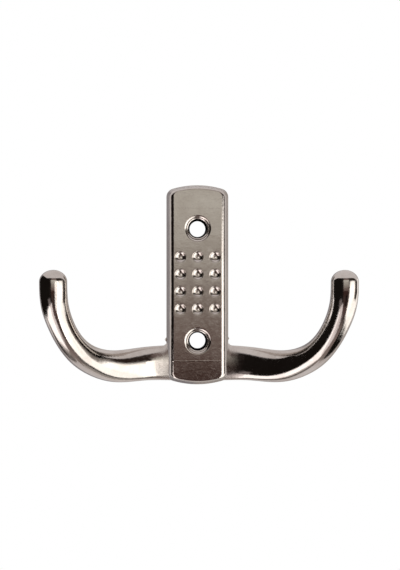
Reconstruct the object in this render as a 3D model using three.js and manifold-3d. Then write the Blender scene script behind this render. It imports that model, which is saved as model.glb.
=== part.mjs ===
// A double wall hook: a hollow-backed cast backplate with two countersunk screw holes and a grid of
// twelve round dimples, and two upturned prongs that are laid into the plate's back and screwed there.
// Millimetres. +Z is up, +X to the right, the wall is the plane Y = 0 and the hook stands out towards -Y.
// The origin is on the wall plane, midway between the two screw holes.
import * as THREE from "three";
import { mergeVertices } from "three/addons/utils/BufferGeometryUtils.js";
import Module from "manifold-3d";

// ---- driving dimensions -------------------------------------------------------------------------

const PLATE = {
  halfWidth: 8.9,
  halfHeight: 28.65,
  thickness: 7.6, // at the middle of its height
  crown: 1.1, // how much the face falls away towards the plate's top and bottom
  endRadius: 25, // the arched top and bottom
  cornerRadius: 2.5,
  wall: 1.9, // side walls of the hollow back
  floor: 2.3, // front wall behind the dimples
};

// The plate's side, from the wall plane forwards: [distance from the wall, how far it has drawn in].
const SIDE_PROFILE = [
  [0, 0],
  [4.4, 0.3],
  [6.4, 1.1],
  [7.05, 1.4],
  [7.45, 1.85],
  [7.6, 2.3],
];

const SCREW_HOLE = {
  spacing: 32,
  backRadius: 2.3,
  throatRadius: 2.65, // where the countersink starts
  mouthRadius: 3.9,
  countersinkDepth: 1.3,
  bossRadius: 4.5,
};

const DIMPLE = { columns: 3, rows: 4, pitch: 4.93, centreZ: 0.45, radius: 1.5, depth: 0.55 };

const CENTRE_RIB = 2; // height of the rib that crosses the hollow back

const TONGUE = {
  low: -26.1,
  high: -20.8,
  inner: 1.6, // how near the plate's middle it ends
  front: 4.2, // it lies on the pocket floor, this far from the wall
  thickness: 2.6,
  clearance: 0.2,
};

const CLAMP_SCREW = {
  x: 4.6,
  z: (TONGUE.low + TONGUE.high) / 2,
  headRadius: 2.15,
  headHeight: 1.1,
  shankRadius: 1.2,
  reach: 5.9, // tip of the screw, from the wall
  clearance: 0.12,
  slotWidth: 0.6,
  slotDepth: 0.7,
};

// The right prong's centreline. The left prong is its mirror image.
const PRONG_AXIS = [
  [7.0, -2.6, -22.3],
  [15.0, -3.8, -22.55],
  [23.6, -8.2, -23.1],
  [29.3, -12.8, -21.6],
  [33.4, -17.3, -18.75],
  [36.35, -20.9, -14.8],
  [38.4, -24.0, -10.3],
  [39.65, -26.5, -5.6],
  [39.95, -28.0, -2.0],
  [40.0, -28.3, 0.8],
].map((p) => new THREE.Vector3(...p));

// Half the prong's height and depth, from its root to its tip: [share of the length, height, depth].
const PRONG_SECTION = [
  [0, 5.05, 2.1],
  [0.15, 4.75, 2.6],
  [0.32, 4.5, 3.2],
  [0.47, 4.0, 3.5],
  [0.72, 3.6, 3.6],
  [0.9, 3.85, 3.8],
  [1, 3.85, 3.85],
];

const TIP_DOME = 0.85; // the round end's length, as a share of the prong's half height there

const PRONG_RINGS = 30;
const TIP_RINGS = 6;
const PRONG_SIDES = 24;
const ROUND_SIDES = 40;

// ---- materials ----------------------------------------------------------------------------------

const nickel = () => new THREE.MeshStandardMaterial({ color: 0xb4a89c, roughness: 0.28, metalness: 1 });
const zinc = () => new THREE.MeshStandardMaterial({ color: 0xa9abae, roughness: 0.4, metalness: 1 });

// ---- joining and cutting ------------------------------------------------------------------------

const wasm = await Module();
wasm.setup();

function solid(geometry) {
  const bare = geometry.clone();
  bare.deleteAttribute("normal");
  bare.deleteAttribute("uv");
  const merged = mergeVertices(bare, 1e-4);
  return new wasm.Manifold(
    new wasm.Mesh({
      numProp: 3,
      vertProperties: new Float32Array(merged.attributes.position.array),
      triVerts: new Uint32Array(merged.index.array),
    }),
  );
}

function meshOf(name, body, material) {
  const { vertProperties, triVerts } = body.simplify(0.002).getMesh();
  const geometry = new THREE.BufferGeometry()
    .setAttribute("position", new THREE.BufferAttribute(new Float32Array(vertProperties), 3))
    .setIndex(new THREE.BufferAttribute(new Uint32Array(triVerts), 1));
  geometry.computeVertexNormals();
  const mesh = new THREE.Mesh(geometry, material);
  mesh.name = name;
  return mesh;
}

// A box between two corners.
function box(low, high) {
  const size = high.map((v, i) => v - low[i]);
  const centre = high.map((v, i) => (v + low[i]) / 2);
  return solid(new THREE.BoxGeometry(...size).translate(...centre));
}

// A turned solid about a line that runs straight out from the wall through (x, z).
// The profile lists [radius, distance from the wall] and starts and ends on the axis.
function turned(profile, x, z, sides = ROUND_SIDES) {
  const points = profile.map(([radius, out]) => new THREE.Vector2(radius, out));
  return solid(new THREE.LatheGeometry(points, sides).rotateX(Math.PI).translate(x, 0, z));
}

// ---- backplate ----------------------------------------------------------------------------------

// The plate's outline in X and Z, grown outwards by a margin: straight sides, arched ends, round corners.
function plateOutline(margin) {
  const w = PLATE.halfWidth + margin;
  const h = PLATE.halfHeight + margin;
  const r = PLATE.cornerRadius + margin;
  const big = PLATE.endRadius + margin;
  const cornerZ = h - big + Math.sqrt((big - r) ** 2 - (w - r) ** 2);
  const turn = Math.atan2(cornerZ - (h - big), w - r);
  const shape = new THREE.Shape();
  shape.moveTo(w, -cornerZ);
  shape.lineTo(w, cornerZ);
  shape.absarc(w - r, cornerZ, r, 0, turn, false);
  shape.absarc(0, h - big, big, turn, Math.PI - turn, false);
  shape.absarc(r - w, cornerZ, r, Math.PI - turn, Math.PI, false);
  shape.lineTo(-w, -cornerZ);
  shape.absarc(r - w, -cornerZ, r, Math.PI, Math.PI + turn, false);
  shape.absarc(0, big - h, big, Math.PI + turn, 2 * Math.PI - turn, false);
  shape.absarc(w - r, -cornerZ, r, 2 * Math.PI - turn, 2 * Math.PI, false);
  return shape;
}

const CROWN_RADIUS = PLATE.halfHeight ** 2 / (2 * PLATE.crown) + PLATE.crown / 2;

// How far the crowned face stands off the wall at height z.
const faceAt = (z) => PLATE.thickness - CROWN_RADIUS + Math.sqrt(CROWN_RADIUS ** 2 - z ** 2);

// Everything behind the crowned face: a slab with an arched front that runs across the plate.
function behindFace() {
  const back = -1;
  const half = PLATE.halfHeight + 1;
  const turn = Math.asin(half / CROWN_RADIUS);
  const shape = new THREE.Shape();
  shape.moveTo(back, half);
  shape.lineTo(back, -half);
  shape.absarc(PLATE.thickness - CROWN_RADIUS, 0, CROWN_RADIUS, -turn, turn, false);
  const width = 2 * PLATE.halfWidth + 2;
  const slab = new THREE.ExtrudeGeometry(shape, { depth: width, bevelEnabled: false, curveSegments: 24 });
  return solid(slab.translate(0, 0, -width / 2).rotateX(Math.PI / 2).rotateZ(-Math.PI / 2));
}

// The plate's outside as a closed block, with its sides drawn in towards the front.
function plateBlock(margin) {
  const steps = SIDE_PROFILE.length - 1;
  const block = new THREE.ExtrudeGeometry(plateOutline(margin), {
    depth: steps,
    steps,
    bevelEnabled: false,
    curveSegments: 10,
  });
  const position = block.attributes.position;
  for (let i = 0; i < position.count; i++) {
    const [out, inset] = SIDE_PROFILE[Math.round(position.getZ(i))];
    const grown = out === 0 ? -margin : out + (out === PLATE.thickness ? margin : 0);
    position.setXYZ(
      i,
      position.getX(i) * (1 - inset / PLATE.halfWidth),
      position.getY(i) * (1 - inset / PLATE.halfHeight),
      grown,
    );
  }
  return solid(block.rotateX(Math.PI / 2));
}

// What is cored out of the plate's back, round the screw bosses, the rib and the pad under the tongues.
function backHollow() {
  const hollowDepth = PLATE.thickness - PLATE.floor;
  const outline = new THREE.ExtrudeGeometry(plateOutline(-PLATE.wall), {
    depth: hollowDepth + 1,
    bevelEnabled: false,
    curveSegments: 8,
  });
  let hollow = solid(outline.translate(0, 0, -1).rotateX(Math.PI / 2));
  for (const z of [-SCREW_HOLE.spacing / 2, SCREW_HOLE.spacing / 2]) {
    const boss = [[0, -2], [SCREW_HOLE.bossRadius, -2], [SCREW_HOLE.bossRadius, 9], [0, 9]];
    hollow = hollow.subtract(turned(boss, 0, z));
  }
  const across = PLATE.halfWidth;
  const rib = box([-across, -9, -CENTRE_RIB / 2], [across, 2, CENTRE_RIB / 2]);
  const pad = box([-across, -9, -30], [across, -TONGUE.front, TONGUE.high + 0.8]);
  return hollow.subtract(rib).subtract(pad);
}

function screwHole(z) {
  const { backRadius, throatRadius, mouthRadius, countersinkDepth } = SCREW_HOLE;
  const front = faceAt(z);
  const profile = [
    [0, -1],
    [backRadius, -1],
    [throatRadius, front - countersinkDepth],
    [mouthRadius, front],
    [mouthRadius, front + 1],
    [0, front + 1],
  ];
  return turned(profile, 0, z);
}

// A ball that leaves a dimple of the stated radius and depth in the plate's face.
function dimple(x, z) {
  const { radius, depth } = DIMPLE;
  const ball = (radius ** 2 + depth ** 2) / (2 * depth);
  const sphere = new THREE.SphereGeometry(ball, 32, 24).rotateX(Math.PI / 2);
  return solid(sphere.translate(x, -(faceAt(z) - depth + ball), z));
}

function backplate() {
  let plate = plateBlock(0).intersect(behindFace()).subtract(backHollow());
  for (const z of [-SCREW_HOLE.spacing / 2, SCREW_HOLE.spacing / 2]) plate = plate.subtract(screwHole(z));
  for (let row = 0; row < DIMPLE.rows; row++) {
    for (let column = 0; column < DIMPLE.columns; column++) {
      const x = (column - (DIMPLE.columns - 1) / 2) * DIMPLE.pitch;
      const z = DIMPLE.centreZ + (row - (DIMPLE.rows - 1) / 2) * DIMPLE.pitch;
      plate = plate.subtract(dimple(x, z));
    }
  }
  const gap = TONGUE.clearance;
  for (const side of [-1, 1]) {
    const [near, far] = [side * (TONGUE.inner - gap), side * (PLATE.halfWidth + 1)].sort((a, b) => a - b);
    plate = plate.subtract(box([near, -TONGUE.front, TONGUE.low - gap], [far, 1, TONGUE.high + gap]));
    const bore = CLAMP_SCREW.shankRadius + CLAMP_SCREW.clearance;
    const thread = [[0, 0], [bore, 0], [bore, CLAMP_SCREW.reach + gap], [0, CLAMP_SCREW.reach + gap]];
    plate = plate.subtract(turned(thread, side * CLAMP_SCREW.x, CLAMP_SCREW.z, 20));
  }
  return plate;
}

// ---- prongs -------------------------------------------------------------------------------------

// Height and depth of the prong's section at a share of its length.
function sectionAt(share) {
  const next = Math.max(1, PRONG_SECTION.findIndex(([at]) => at >= share));
  const [a0, h0, d0] = PRONG_SECTION[next - 1];
  const [a1, h1, d1] = PRONG_SECTION[next];
  const t = THREE.MathUtils.smoothstep(share, a0, a1);
  return [h0 + (h1 - h0) * t, d0 + (d1 - d0) * t];
}

// The right prong as one round-ended bar: a turned rod, bent along the centreline.
function prongBar() {
  const axis = new THREE.CatmullRomCurve3(PRONG_AXIS, false, "centripetal");
  const length = axis.getLength();
  const tip = (TIP_DOME * PRONG_SECTION.at(-1)[1]) / length; // share of the length that the round end adds
  const profile = [new THREE.Vector2(0, 0)];
  for (let i = 0; i <= PRONG_RINGS; i++) profile.push(new THREE.Vector2(1, i / PRONG_RINGS));
  for (let i = 1; i <= TIP_RINGS; i++) {
    const angle = (i / TIP_RINGS) * (Math.PI / 2);
    profile.push(new THREE.Vector2(i === TIP_RINGS ? 0 : Math.cos(angle), 1 + tip * Math.sin(angle)));
  }
  const rod = new THREE.LatheGeometry(profile, PRONG_SIDES);
  const position = rod.attributes.position;
  for (let i = 0; i < position.count; i++) {
    const along = position.getY(i);
    const share = Math.min(along, 1);
    const tangent = axis.getTangentAt(share);
    const forward = new THREE.Vector3(0, -1, 0);
    forward.addScaledVector(tangent, -forward.dot(tangent)).normalize();
    const across = new THREE.Vector3().crossVectors(tangent, forward);
    const [height, depth] = sectionAt(share);
    const place = axis.getPointAt(share);
    place.addScaledVector(tangent, (along - share) * length);
    place.addScaledVector(forward, -position.getX(i) * depth);
    place.addScaledVector(across, position.getZ(i) * height);
    position.setXYZ(i, place.x, place.y, place.z);
  }
  return solid(rod);
}

function rightProng() {
  const { x, z, headRadius, headHeight, shankRadius, clearance } = CLAMP_SCREW;
  const rear = TONGUE.front - TONGUE.thickness;
  const tongue = box(
    [TONGUE.inner, -TONGUE.front, TONGUE.low],
    [PLATE.halfWidth + 1.2, -rear, TONGUE.high],
  );
  const bore = shankRadius + clearance;
  const head = headRadius + clearance;
  const profile = [
    [0, rear - 1],
    [head, rear - 1],
    [head, rear],
    [bore, rear + headHeight],
    [bore, TONGUE.front + 1],
    [0, TONGUE.front + 1],
  ];
  const seat = turned(profile, x, z, 24);
  return prongBar().subtract(plateBlock(TONGUE.clearance)).add(tongue).subtract(seat);
}

// ---- the screws that hold the prongs ------------------------------------------------------------

function clampScrew(side) {
  const { x, z, headRadius, headHeight, shankRadius, reach, slotWidth, slotDepth } = CLAMP_SCREW;
  const rear = TONGUE.front - TONGUE.thickness;
  const profile = [
    [0, rear],
    [headRadius, rear],
    [shankRadius, rear + headHeight],
    [shankRadius, reach - 0.5],
    [0.7 * shankRadius, reach],
    [0, reach],
  ];
  const arm = 0.7 * headRadius;
  const half = slotWidth / 2;
  const middle = side * x;
  const top = -rear + 1;
  const floor = -rear - slotDepth;
  return turned(profile, middle, z, 24)
    .subtract(box([middle - arm, floor, z - half], [middle + arm, top, z + half]))
    .subtract(box([middle - half, floor, z - arm], [middle + half, top, z + arm]));
}

// ---- the hook -----------------------------------------------------------------------------------

const hook = new THREE.Group();
const prong = rightProng();
hook.add(meshOf("backplate", backplate(), nickel()));
hook.add(meshOf("left_prong", prong.mirror([1, 0, 0]), nickel()));
hook.add(meshOf("right_prong", prong, nickel()));
hook.add(meshOf("left_prong_screw", clampScrew(-1), zinc()));
hook.add(meshOf("right_prong_screw", clampScrew(1), zinc()));

export default hook;
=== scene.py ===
import math

import bmesh
import bpy
import numpy as np
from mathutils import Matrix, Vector
from mathutils.geometry import delaunay_2d_cdt


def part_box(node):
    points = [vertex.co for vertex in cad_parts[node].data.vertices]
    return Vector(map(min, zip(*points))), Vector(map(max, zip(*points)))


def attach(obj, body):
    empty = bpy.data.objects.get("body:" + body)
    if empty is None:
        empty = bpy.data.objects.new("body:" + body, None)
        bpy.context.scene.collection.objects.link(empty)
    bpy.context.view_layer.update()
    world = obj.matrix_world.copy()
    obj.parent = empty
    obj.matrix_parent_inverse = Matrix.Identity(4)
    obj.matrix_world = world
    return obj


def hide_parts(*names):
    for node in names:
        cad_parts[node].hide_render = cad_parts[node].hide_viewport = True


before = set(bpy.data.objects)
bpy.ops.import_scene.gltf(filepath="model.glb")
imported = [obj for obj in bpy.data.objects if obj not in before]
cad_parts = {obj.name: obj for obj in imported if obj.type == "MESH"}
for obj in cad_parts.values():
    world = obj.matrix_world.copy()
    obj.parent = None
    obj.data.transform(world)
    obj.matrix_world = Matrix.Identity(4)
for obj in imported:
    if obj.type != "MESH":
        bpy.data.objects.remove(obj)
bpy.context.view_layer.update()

# ---- sizes of the hook, in millimetres -----------------------------------------------------------

MM = 0.001
plate_low, plate_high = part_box("backplate")
HALF_W = plate_high[0] / MM
HALF_H = plate_high[2] / MM
THICK = -plate_low[1] / MM
END_RADIUS = 25.0
CORNER_RADIUS = 2.5

# The plate's side from the wall forwards: how far it has drawn in, and its height off the wall.
SIDE = [(0.0, 0.0), (0.04, 0.12), (0.3, 4.4), (0.72, 5.4)]
EDGE_START, EDGE_INSET, EDGE_END = 5.4, 0.72, 2.18
END_EDGE = 0.45 # the edge is this much narrower at the arched ends than along the sides

HOLE_Z = 16.0
HOLE_BACK = 2.26
HOLE_THROAT = 2.72
HOLE_MOUTH = 3.75
# The screw hole from the face inwards, (radius, depth): soft lip, cone, a narrow seat and the bore.
HOLE_PROFILE = [
    (3.95, 0.0),
    (3.85, 0.0),
    (3.75, 0.012),
    (3.65, 0.038),
    (3.55, 0.08),
    (3.45, 0.135),
    (3.35, 0.21),
    (3.25, 0.305),
    (3.15, 0.425),
    (3.05, 0.555),
    (2.95, 0.645),
    (2.85, 0.707),
    (2.79, 0.75),
    (2.75, 0.81),
    (HOLE_THROAT, 0.95),
    (HOLE_THROAT - 0.03, 1.2),
    (HOLE_BACK, 7.3),
    (HOLE_BACK + 0.1, 7.6),
]

DIMPLE_PITCH = 4.93
DIMPLE_Z = 0.45
# A dimple from its lip to the little nib in its middle, (radius, depth).
DIMPLE_PROFILE = [
    (1.7, 0.0),
    (1.64, 0.003),
    (1.59, 0.012),
    (1.54, 0.03),
    (1.5, 0.053),
    (1.46, 0.088),
    (1.41, 0.148),
    (1.36, 0.207),
    (1.31, 0.256),
    (1.25, 0.304),
    (1.18, 0.352),
    (1.1, 0.398),
    (1.0, 0.447),
    (0.9, 0.486),
    (0.78, 0.52),
    (0.65, 0.545),
    (0.5, 0.565),
    (0.38, 0.575),
    (0.3, 0.57),
    (0.24, 0.545),
    (0.17, 0.51),
    (0.1, 0.49),
    (0.04, 0.485),
]

CROWN = 1.1 # how much the face falls away towards the plate's top and bottom
FACET_START = 21.7 # beyond this height it falls away a little faster
END_FALL = 0.02
WALL = 1.9
HOLLOW = 5.3
BOSS = 4.5
TONGUE_LOW, TONGUE_HIGH = -26.1, -20.8
TONGUE_FRONT, TONGUE_REAR = 4.2, 1.6
SCREW_X = 4.6
SCREW_Z = (TONGUE_LOW + TONGUE_HIGH) / 2

# The right prong's centreline and the half height and half depth of its section at each point.
PRONG = np.array([
    [7.0, -2.6, -22.3, 5.05, 2.1],
    [15.0, -3.8, -22.55, 4.78, 2.6],
    [23.6, -8.2, -23.1, 4.5, 3.2],
    [29.3, -12.8, -21.6, 4.05, 3.45],
    [33.4, -17.3, -18.75, 3.75, 3.55],
    [36.35, -20.9, -14.8, 3.6, 3.6],
    [38.4, -24.0, -10.3, 3.65, 3.65],
    [39.65, -26.8, -5.6, 3.8, 3.75],
    [39.95, -28.15, -2.0, 3.85, 3.85],
    [40.0, -28.24, 0.8, 3.85, 3.85],
])
TIP_DOME = 0.85 # the round end's length, as a share of the half height there


def smooth(t):
    t = min(1.0, max(0.0, t))
    return t * t * (3 - 2 * t)


# ---- small mesh tools ----------------------------------------------------------------------------


def place(x, y, z):
    """A point given in millimetres: x to the right, y off the wall (positive forwards), z up."""
    return Vector((x * MM, -y * MM, z * MM))


def band(bm, ring_a, ring_b):
    """Faces between two closed rings with the same number of vertices."""
    count = len(ring_a)
    for i in range(count):
        j = (i + 1) % count
        bm.faces.new((ring_a[i], ring_a[j], ring_b[j], ring_b[i]))


def circle(x, z, radius, count):
    """Points of a circle in the plate's plane."""
    steps = [2 * math.pi * i / count for i in range(count)]
    return [(x + radius * math.cos(a), z + radius * math.sin(a)) for a in steps]


def ring(bm, points, y):
    return [bm.verts.new(place(x, y, z)) for x, z in points]


def fill(bm, outer, holes, loose=()):
    """A flat face with holes between rings of vertices that all lie in one plane, and loose vertices inside it."""
    loops = [outer] + holes
    verts = [v for loop in loops for v in loop] + list(loose)
    flat = [Vector((v.co.x / MM, v.co.z / MM)) for v in verts]
    edges = []
    start = 0
    for loop in loops:
        edges += [(start + i, start + (i + 1) % len(loop)) for i in range(len(loop))]
        start += len(loop)
    found = delaunay_2d_cdt(flat, edges, [], 1, 1e-6)
    ids = [group[0] for group in found[3]]
    owner = []
    for index, loop in enumerate(loops):
        owner += [index] * len(loop)
    owner += [0] * len(loose)
    for face in found[2]:
        corners = [ids[i] for i in face]
        kinds = {owner[i] for i in corners}
        if len(kinds) == 1 and kinds != {0}:
            continue
        bm.faces.new([verts[i] for i in corners])


def finish_mesh(bm, name, sharp=32):
    bmesh.ops.recalc_face_normals(bm, faces=bm.faces)
    mesh = bpy.data.meshes.new(name)
    bm.to_mesh(mesh)
    bm.free()
    mesh.shade_smooth()
    mesh.set_sharp_from_angle(angle=math.radians(sharp))
    obj = bpy.data.objects.new(name, mesh)
    bpy.context.scene.collection.objects.link(obj)
    return obj


def cut(obj, other, sharp=32):
    """Cuts other from obj and removes it."""
    modifier = obj.modifiers.new("cut", "BOOLEAN")
    modifier.operation = "DIFFERENCE"
    modifier.solver = "EXACT"
    modifier.object = other
    graph = bpy.context.evaluated_depsgraph_get()
    mesh = bpy.data.meshes.new_from_object(obj.evaluated_get(graph))
    obj.modifiers.clear()
    obj.data = mesh
    mesh.shade_smooth()
    mesh.set_sharp_from_angle(angle=math.radians(sharp))
    bpy.data.objects.remove(other)


def turned(name, profile, x, z, count=64):
    """A turned solid about a line straight out from the wall. The profile lists (radius, y) and its ends are on the axis."""
    bm = bmesh.new()
    previous = None
    for radius, y in profile:
        if radius == 0:
            current = [bm.verts.new(place(x, y, z))]
        else:
            current = ring(bm, circle(x, z, radius, count), y)
        if previous and len(previous) == 1:
            for i in range(count):
                bm.faces.new((previous[0], current[i], current[(i + 1) % count]))
        elif previous and len(current) == 1:
            for i in range(count):
                bm.faces.new((previous[i], previous[(i + 1) % count], current[0]))
        elif previous:
            band(bm, previous, current)
        previous = current
    return finish_mesh(bm, name)


def block(name, low, high, bevel=0.0, segments=3):
    """A box between two corners, with rounded edges."""
    bm = bmesh.new()
    bmesh.ops.create_cube(bm, size=1)
    for v in bm.verts:
        v.co = place(*[low[k] if v.co[k] < 0 else high[k] for k in range(3)])
    if bevel:
        bmesh.ops.bevel(bm, geom=bm.edges[:], offset=bevel * MM, segments=segments, profile=0.5, affect="EDGES")
    return finish_mesh(bm, name)


# ---- backplate -----------------------------------------------------------------------------------


def outline(inset, radius=None, end_inset=None):
    """The plate's outline drawn in by inset: straight sides, shallow arched ends, round corners."""
    w, h = HALF_W - inset, HALF_H - (inset if end_inset is None else end_inset)
    r = radius or max(CORNER_RADIUS - 0.5 * inset, 0.4)
    big = END_RADIUS
    centre_z = h - big + math.sqrt((big - r) ** 2 - (w - r) ** 2)
    turn = math.atan2(centre_z - (h - big), w - r)
    quarter = [(w, centre_z * i / 24) for i in range(24)]
    for i in range(17):
        a = turn * i / 16
        quarter.append((w - r + r * math.cos(a), centre_z + r * math.sin(a)))
    for i in range(1, 17):
        a = turn + (math.pi / 2 - turn) * i / 16
        quarter.append((big * math.cos(a), h - big + big * math.sin(a)))
    half = quarter + [(-x, z) for x, z in reversed(quarter[:-1])]
    return half + [(x, -z) for x, z in reversed(half[1:-1])]


def plate_shell():
    """The plate as a closed body with a flat back: drafted sides, rounded edge, dimples and screw holes."""
    bm = bmesh.new()
    rings = [ring(bm, outline(inset), y) for inset, y in SIDE]
    lift = THICK - EDGE_START
    for i in range(1, 11):
        a = math.radians(14 + 76 * i / 10)
        across = (math.cos(math.radians(14)) - math.cos(a)) / math.cos(math.radians(14))
        up = (math.sin(a) - math.sin(math.radians(14))) / (1 - math.sin(math.radians(14)))
        drawn_in = (EDGE_END - EDGE_INSET) * across
        shape = outline(EDGE_INSET + drawn_in, None, EDGE_INSET + END_EDGE * drawn_in)
        rings.append(ring(bm, shape, EDGE_START + lift * up))
    face_end = EDGE_INSET + END_EDGE * (EDGE_END - EDGE_INSET) + 0.08
    rings.append(ring(bm, outline(EDGE_END + 0.04, None, face_end), THICK))
    for a, b in zip(rings, rings[1:]):
        band(bm, a, b)
    front_holes = []
    back_holes = []
    for z in (-HOLE_Z, HOLE_Z):
        profile = [(radius, THICK - depth) for radius, depth in HOLE_PROFILE]
        loops = [ring(bm, circle(0, z, radius, 96), y) for radius, y in profile]
        for i, (a, b) in enumerate(zip(loops, loops[1:])):
            band(bm, a, b)
            # The bore's faces take the near-black bore material: painted shade for the deep hole over a dull unplated
            # wall.
            if HOLE_PROFILE[i][0] <= HOLE_THROAT:
                bm.faces.ensure_lookup_table()
                for face in bm.faces[-len(a):]:
                    face.material_index = 1
        front_holes.append(loops[0])
        back_holes.append(loops[-1])
    for x, z in dimple_centres():
        front_holes.append(dimple(bm, x, z))
    centres = [(0, z, HOLE_MOUTH + 0.9) for z in (-HOLE_Z, HOLE_Z)]
    centres += [(x, z, DIMPLE_PROFILE[0][0] + 0.2) for x, z in dimple_centres()]
    loose = []
    for i in range(-4, 5):
        for j in range(-22, 23):
            x, z = 1.4 * i, 1.2 * j
            if abs(z) < 25.6 - 0.02 * x * x and all(math.hypot(x - cx, z - cz) > r for cx, cz, r in centres):
                loose.append(bm.verts.new(place(x, THICK, z)))
    fill(bm, rings[-1], front_holes, loose)
    fill(bm, rings[0], back_holes)
    for v in bm.verts:
        height = abs(v.co.z) / MM
        fall = CROWN * (height / HALF_H) ** 2 + END_FALL * max(0.0, height - FACET_START)
        v.co.y *= 1 - fall / THICK
    for x, z, width, height in ((-8.95, -15.75, 0.42, 0.62), (8.9, -15.4, 0.22, 0.35)):
        burr = bmesh.ops.create_icosphere(bm, subdivisions=3, radius=1)["verts"]
        for v in burr:
            taper = 1 - 0.6 * abs(v.co.x)
            v.co = place(x + v.co.x * width, 1.3 + v.co.y * 0.7 * taper, z + v.co.z * height * taper)
    return finish_mesh(bm, "backplate_casting")


def dimple_centres():
    return [((c - 1) * DIMPLE_PITCH, DIMPLE_Z + (r - 1.5) * DIMPLE_PITCH) for r in range(4) for c in range(3)]


def dimple(bm, x, z, count=48):
    """A round dimple with a soft lip, steep sides and a nib in the middle. Returns its outer ring."""
    loops = [ring(bm, circle(x, z, radius, count), THICK - depth) for radius, depth in DIMPLE_PROFILE]
    for a, b in zip(loops, loops[1:]):
        band(bm, a, b)
    bottom = bm.verts.new(place(x, THICK - DIMPLE_PROFILE[-1][1], z))
    for i in range(count):
        bm.faces.new((loops[-1][i], loops[-1][(i + 1) % count], bottom))
    return loops[0]


def pocket(name, low_z, high_z, depth):
    """A cutter for part of the hollow back: the plate's inner outline between two heights."""
    bm = bmesh.new()
    points = [(x, min(max(z, low_z), high_z)) for x, z in outline(WALL, 0.9)]
    unique = [p for i, p in enumerate(points) if math.dist(p, points[i - 1]) > 1e-6]
    rings = []
    for y, shrink in ((-1.0, 0.0), (depth - 0.5, 0.12), (depth - 0.15, 0.24), (depth, 0.55)):
        middle = (low_z + high_z) / 2
        kx = 1 - shrink / (HALF_W - WALL)
        kz = 1 - shrink / ((high_z - low_z) / 2)
        rings.append(ring(bm, [(x * kx, middle + (z - middle) * kz) for x, z in unique], y))
    for a, b in zip(rings, rings[1:]):
        band(bm, a, b)
    bm.faces.new(rings[0])
    bm.faces.new(rings[-1])
    return finish_mesh(bm, name)


def backplate():
    plate = plate_shell()
    plate.data.materials.append(plate_nickel)
    plate.data.materials.append(bore_painted_shade)
    top = HALF_H - WALL
    for low, high, depth, boss_z in ((1.0, top, HOLLOW, HOLE_Z), (-20.0, -1.0, HOLLOW, -HOLE_Z), (-top, -19.0, TONGUE_FRONT, -HOLE_Z)):
        cutter = pocket("pocket", low, high, depth)
        boss = turned("boss", [(0, -2), (BOSS - 0.1, -2), (BOSS + 0.12, 8), (0, 8)], 0, boss_z, 72)
        cut(cutter, boss)
        cut(plate, cutter)
    for side in (-1, 1):
        xs = sorted((side * 1.4, side * (HALF_W + 1)))
        window = block("window", (xs[0], -1, TONGUE_LOW - 0.2), (xs[1], TONGUE_FRONT, TONGUE_HIGH + 0.2))
        cut(plate, window)
    return plate


# ---- prongs --------------------------------------------------------------------------------------


def spline(values):
    """A natural cubic spline through rows of values, spaced by the distance between their points."""
    steps = np.linalg.norm(np.diff(values[:, :3], axis=0), axis=1)
    knots = np.concatenate([[0], np.cumsum(steps)])
    count = len(knots)
    system = np.zeros((count, count))
    right = np.zeros_like(values)
    system[0, 0] = system[-1, -1] = 1
    for i in range(1, count - 1):
        system[i, i - 1 : i + 2] = steps[i - 1], 2 * (steps[i - 1] + steps[i]), steps[i]
        right[i] = 6 * ((values[i + 1] - values[i]) / steps[i] - (values[i] - values[i - 1]) / steps[i - 1])
    bend = np.linalg.solve(system, right)

    def at(s):
        i = min(max(int(np.searchsorted(knots, s)) - 1, 0), count - 2)
        h, a, b = steps[i], knots[i + 1] - s, s - knots[i]
        line = (values[i] * a + values[i + 1] * b) / h
        return line + (bend[i] * (a**3 / h - a * h) + bend[i + 1] * (b**3 / h - b * h)) / 6

    return at, knots[-1]


def prong(side):
    """One prong: a bar that is flat and tall at the plate and round at its tip, with a domed end."""
    at, length = spline(PRONG)
    start = next(s for s in np.arange(0, 4, 0.02) if at(s)[0] >= 7.08)
    rings_along, sides = 150, 80
    bm = bmesh.new()
    rings = []
    stations = [(start + (length - start) * i / rings_along, 1.0, 0.0) for i in range(rings_along + 1)]
    for i in range(1, 20):
        a = math.pi / 2 * i / 20
        stations.append((length, math.cos(a), math.sin(a)))
    for s, shrink, reach in stations:
        here = at(s)
        tangent = Vector(at(min(s + 0.01, length)) [:3] - at(s - 0.01)[:3]).normalized()
        forward = Vector((0, -1, 0))
        forward = (forward - tangent * forward.dot(tangent)).normalized()
        across = tangent.cross(forward)
        flare = 0.7 * (1 - smooth((here[0] - 8.6) / 1.3)) ** 2
        height, depth = here[3] * shrink, here[4] * shrink
        centre = Vector(here[:3]) + tangent * (reach * TIP_DOME * PRONG[-1][3])
        loop = []
        for k in range(sides):
            a = 2 * math.pi * k / sides
            lift = flare if math.sin(a) < 0 else 0.0
            point = centre + across * ((height + lift) * math.sin(a)) + forward * (depth * math.cos(a))
            loop.append(bm.verts.new(Vector((side * point.x, min(point.y, -0.05), point.z)) * MM))
        rings.append(loop)
    for a, b in zip(rings, rings[1:]):
        band(bm, a, b)
    bm.faces.new(rings[0])
    end = Vector(at(length)[:3]) + tangent * (TIP_DOME * PRONG[-1][3])
    tip = bm.verts.new(Vector((side * end.x, end.y, end.z)) * MM)
    for i in range(sides):
        bm.faces.new((rings[-1][i], rings[-1][(i + 1) % sides], tip))
    name = "left" if side < 0 else "right"
    bar = finish_mesh(bm, name + "_prong_bar")
    xs = sorted((side * 1.6, side * 9.3))
    tongue = block("tongue", (xs[0], TONGUE_REAR, TONGUE_LOW), (xs[1], TONGUE_FRONT, TONGUE_HIGH), 0.25)
    seat = [(0, 0), (2.35, 0), (2.35, 1.55), (2.27, 1.65), (1.32, 2.7), (1.32, 6), (0, 6)]
    cut(tongue, turned("seat", seat, side * SCREW_X, SCREW_Z, 48))
    joined = bmesh.new()
    joined.from_mesh(bar.data)
    joined.from_mesh(tongue.data)
    bpy.data.objects.remove(bar)
    bpy.data.objects.remove(tongue)
    return finish_mesh(joined, name + "_prong_casting")


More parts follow.
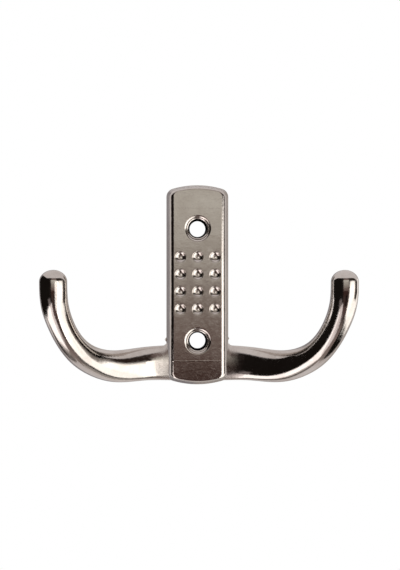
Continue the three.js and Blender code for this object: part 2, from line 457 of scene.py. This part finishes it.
def clamp_screw(side):
    """A small countersunk screw with a cross recess, seen on the plate's back."""
    x = side * SCREW_X
    profile = [(0, 1.6), (1.95, 1.6), (2.1, 1.66), (2.15, 1.78), (1.28, 2.66), (1.2, 2.75)]
    profile += [(1.2, 5.4), (0.8, 5.9), (0, 5.9)]
    name = "left" if side < 0 else "right"
    screw = turned(name + "_clamp_screw", profile, x, SCREW_Z, 48)
    for wide, tall in ((1.35, 0.3), (0.3, 1.35)):
        slot = block("slot", (x - wide, 1.0, SCREW_Z - tall), (x + wide, 2.3, SCREW_Z + tall))
        slot.data.flip_normals()
        cut(screw, slot)
    return screw


# ---- materials -----------------------------------------------------------------------------------


class Nodes:
    """A few shorthands for building a node tree."""

    def __init__(self, tree):
        self.tree = tree
        tree.nodes.clear()

    def add(self, kind, inputs=None, **settings):
        node = self.tree.nodes.new(kind)
        for key, value in settings.items():
            setattr(node, key, value)
        for key, value in (inputs or {}).items():
            if isinstance(value, bpy.types.NodeSocket):
                self.tree.links.new(value, node.inputs[key])
            else:
                node.inputs[key].default_value = value
        return node

    def math(self, operation, *values):
        node = self.tree.nodes.new("ShaderNodeMath")
        node.operation = operation
        for i, value in enumerate(values):
            if isinstance(value, bpy.types.NodeSocket):
                self.tree.links.new(value, node.inputs[i])
            else:
                node.inputs[i].default_value = value
        return node.outputs[0]

    def noise(self, coordinates, scale, detail=2.0, roughness=0.5):
        inputs = {"Vector": coordinates, "Scale": scale, "Detail": detail, "Roughness": roughness}
        return self.add("ShaderNodeTexNoise", inputs).outputs["Fac"]

    def ramp(self, value, low, high, out_low, out_high, kind="SMOOTHSTEP"):
        inputs = {"Value": value, "From Min": low, "From Max": high, "To Min": out_low, "To Max": out_high}
        node = self.add("ShaderNodeMapRange", inputs, interpolation_type=kind)
        return node.outputs["Result"]

    def blend(self, factor, a, b):
        node = self.tree.nodes.new("ShaderNodeMix")
        node.data_type = "RGBA"
        for socket, value in ((0, factor), (6, a), (7, b)):
            if isinstance(value, bpy.types.NodeSocket):
                self.tree.links.new(value, node.inputs[socket])
            else:
                node.inputs[socket].default_value = value
        return node.outputs[2]


def metal(name, light, dark, rough, grain, witness_lines=(), root_rough=0.0):
    """Plated metal over a cast surface: mottled tone, uneven polish, fine grain, edges worn brighter.
    Witness lines are faint ridges across the face, (height up the plate, how proud), left by joints in the mould."""
    material = bpy.data.materials.new(name)
    material.use_nodes = True
    n = Nodes(material.node_tree)
    where = n.add("ShaderNodeTexCoord").outputs["Object"]
    cloud = n.noise(where, 140, 3)
    mottle = n.noise(where, 900, 3, 0.6)
    fine = n.noise(where, 3200, 2, 0.6)
    edge = n.ramp(n.add("ShaderNodeNewGeometry").outputs["Pointiness"], 0.505, 0.56, 0.0, 1.0)
    tone = n.blend(n.ramp(n.math("ADD", cloud, n.math("MULTIPLY", mottle, 0.5)), 0.5, 1.0, 0.0, 1.0), dark, light)
    tone = n.blend(n.math("MULTIPLY", edge, 0.35), tone, (0.8, 0.77, 0.73, 1))
    polish = n.ramp(n.math("ADD", mottle, n.math("MULTIPLY", fine, 0.5)), 0.5, 1.0, rough - 0.04, rough + 0.07)
    polish = n.math("SUBTRACT", polish, n.math("MULTIPLY", edge, 0.05))
    aside = n.math("ABSOLUTE", n.add("ShaderNodeSeparateXYZ", {0: where}).outputs[0])
    polish = n.math("ADD", polish, n.ramp(aside, 0.0085, 0.014, root_rough, 0.0))
    height = n.math("ADD", n.math("MULTIPLY", mottle, 0.5), n.math("MULTIPLY", fine, 0.5))
    up = n.add("ShaderNodeSeparateXYZ", {0: where}).outputs[2]
    sway = n.math("MULTIPLY", n.math("SUBTRACT", cloud, 0.5), 0.0006)
    for z, proud in witness_lines:
        off = n.math("ABSOLUTE", n.math("SUBTRACT", n.math("ADD", up, sway), z * MM))
        height = n.math("ADD", height, n.ramp(off, 0.0, 0.00022, proud, 0.0))
    bump = n.add("ShaderNodeBump", {"Height": height, "Strength": grain, "Distance": 0.00005})
    shader = n.add("ShaderNodeBsdfPrincipled", {
        "Base Color": tone,
        "Metallic": 1.0,
        "Roughness": polish,
        "Normal": bump.outputs[0],
    })
    n.add("ShaderNodeOutputMaterial", {"Surface": shader.outputs[0]})
    return material


def shaded_bore(name, light, dark):
    """The dull, unpolished wall of a deep bore, painted near black as shade for the deep hole, with a blotchy tone and
    a rough skin.
    """
    material = bpy.data.materials.new(name)
    material.use_nodes = True
    n = Nodes(material.node_tree)
    where = n.add("ShaderNodeTexCoord").outputs["Object"]
    blotch = n.noise(where, 1200, 3, 0.6)
    bump = n.add("ShaderNodeBump", {"Height": blotch, "Strength": 0.4, "Distance": 0.00005})
    shader = n.add("ShaderNodeBsdfPrincipled", {
        "Base Color": n.blend(blotch, dark, light),
        "Roughness": n.ramp(blotch, 0.2, 0.8, 0.8, 0.95),
        "Specular IOR Level": 0.0,
        "Normal": bump.outputs[0],
    })
    n.add("ShaderNodeOutputMaterial", {"Surface": shader.outputs[0]})
    return material


LIGHT_NICKEL, DARK_NICKEL = (0.68, 0.64, 0.6, 1), (0.57, 0.52, 0.48, 1)
nickel = metal("satin_nickel", LIGHT_NICKEL, DARK_NICKEL, 0.09, 0.35, (), 0.2)
plate_nickel = metal("satin_nickel_plate", LIGHT_NICKEL, DARK_NICKEL, 0.13, 0.8, ((21.7, -0.15), (-21.7, 0.3)))
# Near black: painted shade in the deep bore, over a dull unplated wall.
bore_painted_shade = shaded_bore("painted_shade_bore", (0.012, 0.01, 0.009, 1), (0.004, 0.003, 0.003, 1))
zinc = metal("zinc_plated_steel", (0.66, 0.67, 0.7, 1), (0.5, 0.51, 0.53, 1), 0.3, 0.2)

pieces = [
    (backplate(), "backplate", "satin_nickel", plate_nickel),
    (prong(-1), "left_prong", "satin_nickel", nickel),
    (prong(1), "right_prong", "satin_nickel", nickel),
    (clamp_screw(-1), "left_prong_screw", "zinc_plated_steel", zinc),
    (clamp_screw(1), "right_prong_screw", "zinc_plated_steel", zinc),
]
for piece, node, slot, material in pieces:
    if not piece.data.materials:
        piece.data.materials.append(material)
    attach(piece, "root")
    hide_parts(node)

# ---- studio --------------------------------------------------------------------------------------


def studio():
    """Soft light from all round, as seen in the metal: angles are in degrees to the right of the camera and above it."""
    world = bpy.data.worlds.new("studio")
    bpy.context.scene.world = world
    world.use_nodes = True
    n = Nodes(world.node_tree)
    axes = n.add("ShaderNodeSeparateXYZ", {0: n.add("ShaderNodeTexCoord").outputs["Generated"]})
    x, y, z = axes.outputs
    right = n.math("MULTIPLY", n.math("ARCTAN2", x, n.math("MULTIPLY", y, -1.0)), 180 / math.pi)
    up = n.math("MULTIPLY", n.math("ARCSINE", z), 180 / math.pi)

    aside = n.math("ABSOLUTE", right)

    def bow(beyond, amount):
        """Grows with the square of the angle to either side, beyond the stated one."""
        far = n.math("MAXIMUM", n.math("SUBTRACT", aside, beyond), 0.0)
        return n.math("MULTIPLY", n.math("MULTIPLY", far, far), amount)

    def card(colour, sky, span, rise, soft, height=up):
        masks = []
        for value, (low, high) in ((right, span), (height, rise)):
            masks.append(n.ramp(value, low - soft, low + soft, 0.0, 1.0))
            masks.append(n.ramp(value, high - soft, high + soft, 1.0, 0.0))
        product = masks[0]
        for mask in masks[1:]:
            product = n.math("MULTIPLY", product, mask)
        if isinstance(colour, tuple):
            colour = (*colour, 1)
        return n.blend(product, sky, colour)

    # Heights that follow the edges of the big soft lights, which bow up low down and bow down high up.
    low_edge = n.math("SUBTRACT", up, bow(60, 0.005))
    low_left = n.math("SUBTRACT", up, bow(60, 0.009))
    over_left = n.math("SUBTRACT", up, bow(60, 0.003))
    high_edge = n.math("ADD", up, n.math("ADD", bow(0, 0.0012), bow(70, 0.012)))
    off_centre = n.math("SUBTRACT", right, 62)
    box_top = n.math("ADD", up, n.math("MULTIPLY", n.math("MULTIPLY", off_centre, off_centre), 0.006))

    sky = n.blend(n.ramp(up, -82, -70, 0.0, 1.0), (0.32, 0.27, 0.25, 1), (0.68, 0.63, 0.61, 1))
    sky = card((0.03, 0.02, 0.016), sky, (-98, 118), (-62, 60), 3)
    sky = card((0.09, 0.08, 0.078), sky, (-144, -116), (-62, -37), 4)
    sky = card((0.2, 0.18, 0.17), sky, (-150, -112), (-80, -62), 4)
    sky = card((0.27, 0.21, 0.195), sky, (-20, 105), (-80, -64), 4)
    sky = card((0.03, 0.02, 0.018), sky, (-12, 60), (-66, -53), 3)
    sky = card((0.008, 0.006, 0.005), sky, (58, 134), (-77, -28), 4)

    # Straight ahead, between the lights: dark low down, with a pale column over it.
    ahead = n.blend(n.ramp(up, -12, -8, 0.0, 1.0), (0.05, 0.025, 0.02, 1), (0.19, 0.14, 0.125, 1))
    ahead = n.blend(n.ramp(up, -5, 10, 0.0, 1.0, "LINEAR"), ahead, (0.67, 0.65, 0.59, 1))
    ahead = n.blend(n.ramp(up, 14, 20, 0.0, 1.0), ahead, (0.2, 0.15, 0.14, 1))
    sky = card((0.015, 0.011, 0.01), sky, (-36, -17), (-44, 60), 3)
    sky = card(ahead, sky, (-15, 30), (-34, 60), 5)
    sky = card((0.06, 0.038, 0.034), sky, (-16, 34), (-54, -24), 4)
    sky = card((0.012, 0.008, 0.007), sky, (6, 18), (-54, -22), 3)
    sky = card((0.12, 0.075, 0.07), sky, (-16, 30), (-62, -52), 3)

    # The big soft box to the right, and its lower part that wraps round past the side.
    under_top = n.ramp(box_top, 0, 16, 1.0, 0.0)
    bright = n.blend(under_top, sky, (2.0, 1.95, 1.88, 1))
    sky = card(bright, sky, (37, 87), (-60, 40), 5)
    sky = card((1.7, 1.66, 1.6), sky, (70, 130), (-60, -26), 3, low_edge)
    sky = card((0.3, 0.27, 0.25), sky, (87, 96), (-22, 16), 3)
    sky = card((0.03, 0.02, 0.015), sky, (97, 114), (-18, 20), 3)

    # The soft light low down on the left, under the black flag, with its thin tail towards the middle.
    sky = card((1.8, 1.72, 1.72), sky, (-112, -40), (-79, -30), 3, low_left)
    sky = card((1.05, 0.95, 0.95), sky, (-42, -17), (-72, -44), 4)
    sky = card((1.0, 0.93, 0.93), sky, (-30, -3), (-70, -63), 2)
    sky = card((0.01, 0.008, 0.007), sky, (-118, -30), (-46, -22), 3, over_left)
    sky = card((0.01, 0.008, 0.007), sky, (-102, -30), (-44, 60), 3)
    sky = card((0.22, 0.19, 0.19), sky, (-52, -28), (-46, -31), 3)
    sky = card((0.9, 0.85, 0.85), sky, (-138, -120), (-34, -25), 3)
    sky = n.blend(n.ramp(high_edge, 38, 43, 0.0, 1.0), sky, (0.74, 0.7, 0.7, 1))

    # The ends of the room behind the hook, seen only along the plate's sides.
    sky = card((0.32, 0.3, 0.31), sky, (-190, -140), (-40, 24), 6)
    sky = card((0.48, 0.44, 0.415), sky, (140, 190), (-40, 24), 6)
    # The backdrop is white behind the hook and a pale grey all round it, so that bright metal shows from the side.
    backdrop = n.blend(n.ramp(y, 0.8, 0.95, 0.0, 1.0), (0.66, 0.65, 0.64, 1), (1, 1, 1, 1))
    white = n.add("ShaderNodeBackground", {"Color": backdrop, "Strength": 1.0})
    lit = n.add("ShaderNodeBackground", {"Color": sky, "Strength": 1.0})
    seen = n.add("ShaderNodeLightPath").outputs["Is Camera Ray"]
    mixed = n.add("ShaderNodeMixShader", {0: seen, 1: lit.outputs[0], 2: white.outputs[0]})
    n.add("ShaderNodeOutputWorld", {"Surface": mixed.outputs[0]})


studio()


def near_card(name, corners, colour, strength):
    """A flat card near the hook, metres, that shows only in the metal."""
    mesh = bpy.data.meshes.new(name)
    mesh.from_pydata(corners, [], [tuple(range(len(corners)))])
    obj = bpy.data.objects.new(name, mesh)
    bpy.context.scene.collection.objects.link(obj)
    material = bpy.data.materials.new(name)
    material.use_nodes = True
    n = Nodes(material.node_tree)
    glow = n.add("ShaderNodeEmission", {"Color": colour, "Strength": strength})
    n.add("ShaderNodeOutputMaterial", {"Surface": glow.outputs[0]})
    mesh.materials.append(material)
    obj.visible_camera = False
    return obj


def upright(x, out_low, out_high, low, high):
    """Corners of an upright card that stands square to the wall at x."""
    return [(x, -out_low, low), (x, -out_high, low), (x, -out_high, high), (x, -out_low, high)]


near_card("black_flag", upright(-0.075, -0.007, 0.045, -0.03, 0.03), (0.01, 0.008, 0.007, 1), 1.0)
for piece, _, _, _ in pieces[1:3]:
    piece.visible_glossy = False

white_card = near_card("white_card", upright(0.078, -0.01, 0.008, -0.02, 0.012), (1, 0.97, 0.95, 1), 1.3)
right_only = bpy.data.collections.new("white_card_receivers")
right_only.objects.link(pieces[2][0])
white_card.light_linking.receiver_collection = right_only


def far_glow(name, span, rise, colour, shown_in):
    """A far-off patch of light for some pieces only, between two angles to the right of the camera and above it."""
    steps = 8
    corners = []
    for j in range(steps + 1):
        for i in range(steps + 1):
            right = math.radians(span[0] + (span[1] - span[0]) * i / steps)
            up = math.radians(rise[0] + (rise[1] - rise[0]) * j / steps)
            corners.append(0.9 * Vector((math.sin(right) * math.cos(up), -math.cos(right) * math.cos(up), math.sin(up))))
    row = steps + 1
    faces = []
    for j in range(steps):
        for i in range(steps):
            k = j * row + i
            faces.append((k, k + 1, k + row + 1, k + row))
    mesh = bpy.data.meshes.new(name)
    mesh.from_pydata(corners, [], faces)
    obj = bpy.data.objects.new(name, mesh)
    bpy.context.scene.collection.objects.link(obj)
    material = bpy.data.materials.new(name)
    material.use_nodes = True
    n = Nodes(material.node_tree)
    glow = n.add("ShaderNodeEmission", {"Color": colour, "Strength": 1.0})
    clear = n.add("ShaderNodeBsdfTransparent")
    both = n.add("ShaderNodeAddShader", {0: glow.outputs[0], 1: clear.outputs[0]})
    n.add("ShaderNodeOutputMaterial", {"Surface": both.outputs[0]})
    mesh.materials.append(material)
    obj.visible_camera = False
    receivers = bpy.data.collections.new(name + "_receivers")
    for piece in shown_in:
        receivers.objects.link(piece)
    obj.light_linking.receiver_collection = receivers


plate_piece, left_piece, right_piece = [entry[0] for entry in pieces[:3]]
far_glow("low_left_glow", (-62, -19), (-56, -13), (1.35, 1.2, 1.17, 1), [plate_piece])
far_glow("box_fringe", (11, 15), (-50, 7), (0.6, 0.56, 0.54, 1), [plate_piece, left_piece])
far_glow("box_near_edge", (15, 20), (-52, 7), (1.8, 1.74, 1.68, 1), [plate_piece, left_piece])
far_glow("box_bar", (20, 26), (-55, 8), (0.5, 0.48, 0.46, 1), [plate_piece, left_piece])
far_glow("box_near_part", (26, 41), (-57, 8), (1.8, 1.74, 1.68, 1), [plate_piece, left_piece])
far_glow("left_floor_glow", (98, 142), (-80, -55), (0.4, 0.37, 0.35, 1), [left_piece])
far_glow("left_floor_edge", (50, 98), (-80, -66), (0.18, 0.16, 0.15, 1), [left_piece])

floor_mesh = bpy.data.meshes.new("floor")
corners = [(-0.24, -0.24, -0.12), (0.24, -0.24, -0.12), (0.24, 0.24, -0.12), (-0.24, 0.24, -0.12)]
floor_mesh.from_pydata(corners, [], [(0, 1, 2, 3)])
floor = bpy.data.objects.new("floor", floor_mesh)
bpy.context.scene.collection.objects.link(floor)
paper = bpy.data.materials.new("pale_floor")
paper.use_nodes = True
paper_nodes = Nodes(paper.node_tree)
grain = paper_nodes.noise(paper_nodes.add("ShaderNodeTexCoord").outputs["Object"], 300, 3)
paper_tone = paper_nodes.blend(grain, (0.86, 0.86, 0.85, 1), (0.9, 0.9, 0.89, 1))
paper_shader = paper_nodes.add("ShaderNodeBsdfPrincipled", {"Base Color": paper_tone, "Roughness": 0.8})
paper_nodes.add("ShaderNodeOutputMaterial", {"Surface": paper_shader.outputs[0]})
floor_mesh.materials.append(paper)
floor.visible_glossy = False

# ---- camera --------------------------------------------------------------------------------------

DISTANCE = 0.6
VIEW_WIDTH = 0.1151
TURN = math.radians(1.1)
target = Vector((0.00076, 0, -0.00007))
camera = bpy.data.objects.new("camera", bpy.data.cameras.new("camera"))
camera.data.sensor_fit = "HORIZONTAL"
camera.data.sensor_width = 36
camera.data.lens = 36 * DISTANCE / VIEW_WIDTH
camera.data.clip_start = 0.01
camera.location = target + Vector((-DISTANCE * math.sin(TURN), -DISTANCE * math.cos(TURN), 0))
camera.rotation_euler = (target - camera.location).to_track_quat("-Z", "Y").to_euler()
bpy.context.scene.collection.objects.link(camera)
bpy.context.scene.camera = camera
bpy.context.scene.view_settings.view_transform = "Standard"
